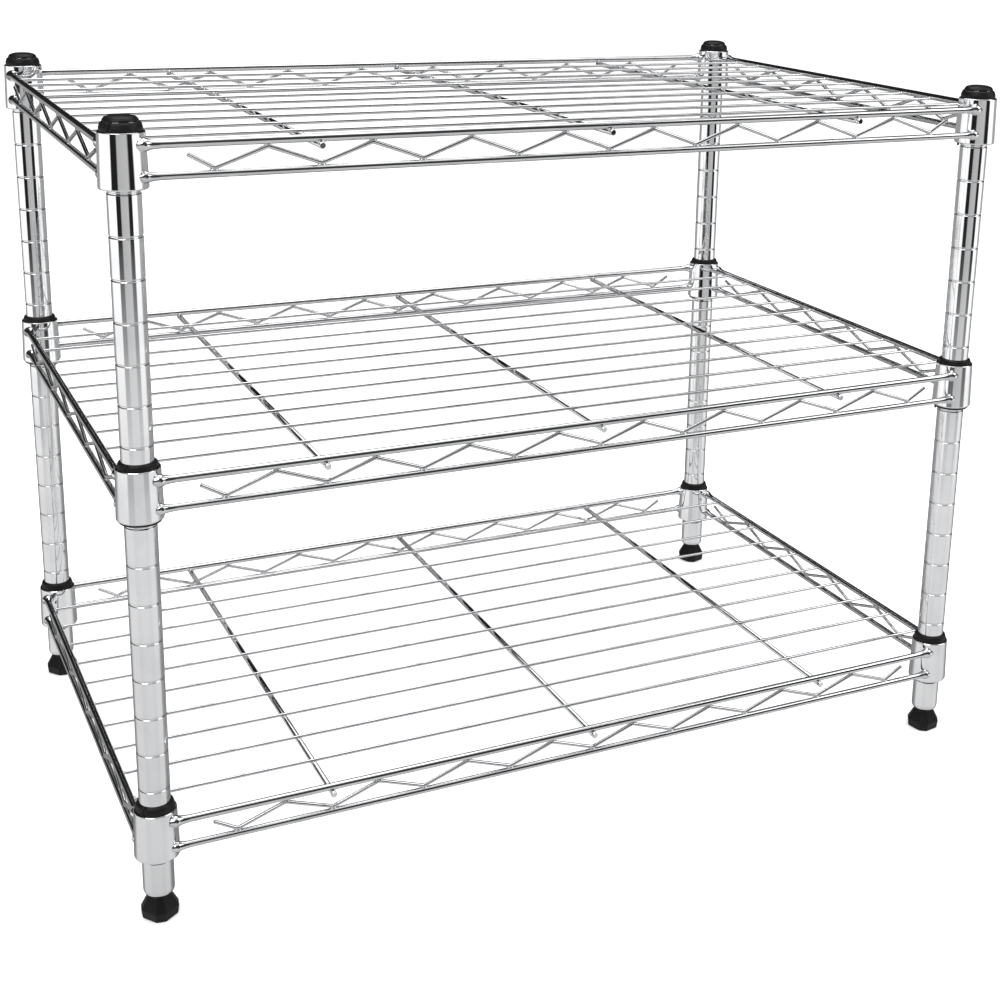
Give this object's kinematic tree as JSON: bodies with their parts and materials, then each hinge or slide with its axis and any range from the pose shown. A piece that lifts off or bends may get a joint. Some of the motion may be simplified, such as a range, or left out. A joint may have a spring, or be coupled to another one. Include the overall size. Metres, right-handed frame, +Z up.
{
  "type": "tiered shoe rack",
  "caption": "Free-standing wire shoe rack: flat wire shelves with zigzag rims clamped by tapered sleeves on grooved round posts with levelling feet.",
  "frame": {"origin": "on the floor under the middle of the rack", "axes": "+X along the long side, towards the right seen from the front; front is -Y; +Z up"},
  "size_m": [0.645, 0.405, 0.5185],
  "materials": {
    "chrome_tube": "bright chrome plating",
    "chrome_collar": "bright chrome plating",
    "chrome_wire": "bright chrome plating",
    "stud_steel": "zinc plated",
    "black_plastic": "satin",
    "foot_plastic": "satin",
    "sleeve_plastic": "satin"
  },
  "bodies": {
    "posts": {"post_front_left": "chrome_tube", "post_front_right": "chrome_tube", "post_back_left": "chrome_tube", "post_back_right": "chrome_tube", "cap_front_left": "black_plastic", "cap_front_right": "black_plastic", "cap_back_left": "black_plastic", "cap_back_right": "black_plastic", "insert_front_left": "black_plastic", "insert_front_right": "black_plastic", "insert_back_left": "black_plastic", "insert_back_right": "black_plastic", "bottom_sleeve_front_left": "sleeve_plastic", "bottom_sleeve_front_right": "sleeve_plastic", "bottom_sleeve_back_left": "sleeve_plastic", "bottom_sleeve_back_right": "sleeve_plastic", "middle_sleeve_front_left": "sleeve_plastic", "middle_sleeve_front_right": "sleeve_plastic", "middle_sleeve_back_left": "sleeve_plastic", "middle_sleeve_back_right": "sleeve_plastic", "top_sleeve_front_left": "sleeve_plastic", "top_sleeve_front_right": "sleeve_plastic", "top_sleeve_back_left": "sleeve_plastic", "top_sleeve_back_right": "sleeve_plastic"},
    "bottom_shelf": {"bottom_collars": "chrome_collar", "bottom_upper_rails": "chrome_wire", "bottom_lower_rails": "chrome_wire", "bottom_zigzag": "chrome_wire", "bottom_cross_bars": "chrome_wire", "bottom_deck_wires": "chrome_wire"},
    "middle_shelf": {"middle_collars": "chrome_collar", "middle_upper_rails": "chrome_wire", "middle_lower_rails": "chrome_wire", "middle_zigzag": "chrome_wire", "middle_cross_bars": "chrome_wire", "middle_deck_wires": "chrome_wire"},
    "top_shelf": {"top_collars": "chrome_collar", "top_upper_rails": "chrome_wire", "top_lower_rails": "chrome_wire", "top_zigzag": "chrome_wire", "top_cross_bars": "chrome_wire", "top_deck_wires": "chrome_wire"},
    "front_left_stud": {"stud_front_left": "stud_steel"},
    "front_left_foot": {"pad_front_left": "foot_plastic"},
    "front_right_stud": {"stud_front_right": "stud_steel"},
    "front_right_foot": {"pad_front_right": "foot_plastic"},
    "back_left_stud": {"stud_back_left": "stud_steel"},
    "back_left_foot": {"pad_back_left": "foot_plastic"},
    "back_right_stud": {"stud_back_right": "stud_steel"},
    "back_right_foot": {"pad_back_right": "foot_plastic"}
  },
  "joints": [
    {"name": "bottom_shelf_lift", "type": "slide", "parent": "posts", "child": "bottom_shelf", "axis": [0, 0, 1], "range_m": [0, 0.19]},
    {"name": "middle_shelf_lift", "type": "slide", "parent": "posts", "child": "middle_shelf", "axis": [0, 0, 1], "range_m": [0, 0.16]},
    {"name": "top_shelf_lift", "type": "slide", "parent": "posts", "child": "top_shelf", "axis": [0, 0, 1], "range_m": [0, 0.06]},
    {"name": "front_left_foot_travel", "type": "slide", "parent": "posts", "child": "front_left_stud", "axis": [0, 0, -1], "range_m": [0, 0.012]},
    {"name": "front_left_foot_turn", "type": "hinge", "parent": "front_left_stud", "child": "front_left_foot", "pos_m": [-0.308, -0.188, 0.01], "axis": [0, 0, -1], "range_deg": [0, 3456.1]},
    {"name": "front_right_foot_travel", "type": "slide", "parent": "posts", "child": "front_right_stud", "axis": [0, 0, -1], "range_m": [0, 0.012]},
    {"name": "front_right_foot_turn", "type": "hinge", "parent": "front_right_stud", "child": "front_right_foot", "pos_m": [0.308, -0.188, 0.01], "axis": [0, 0, -1], "range_deg": [0, 3456.1]},
    {"name": "back_left_foot_travel", "type": "slide", "parent": "posts", "child": "back_left_stud", "axis": [0, 0, -1], "range_m": [0, 0.012]},
    {"name": "back_left_foot_turn", "type": "hinge", "parent": "back_left_stud", "child": "back_left_foot", "pos_m": [-0.308, 0.188, 0.01], "axis": [0, 0, -1], "range_deg": [0, 3456.1]},
    {"name": "back_right_foot_travel", "type": "slide", "parent": "posts", "child": "back_right_stud", "axis": [0, 0, -1], "range_m": [0, 0.012]},
    {"name": "back_right_foot_turn", "type": "hinge", "parent": "back_right_stud", "child": "back_right_foot", "pos_m": [0.308, 0.188, 0.01], "axis": [0, 0, -1], "range_deg": [0, 3456.1]}
  ],
  "couplings": [
    {"joint": "front_left_foot_turn", "follows": "front_left_foot_travel", "rad_per_m": 5026.5},
    {"joint": "front_right_foot_turn", "follows": "front_right_foot_travel", "rad_per_m": 5026.5},
    {"joint": "back_left_foot_turn", "follows": "back_left_foot_travel", "rad_per_m": 5026.5},
    {"joint": "back_right_foot_turn", "follows": "back_right_foot_travel", "rad_per_m": 5026.5}
  ]
}
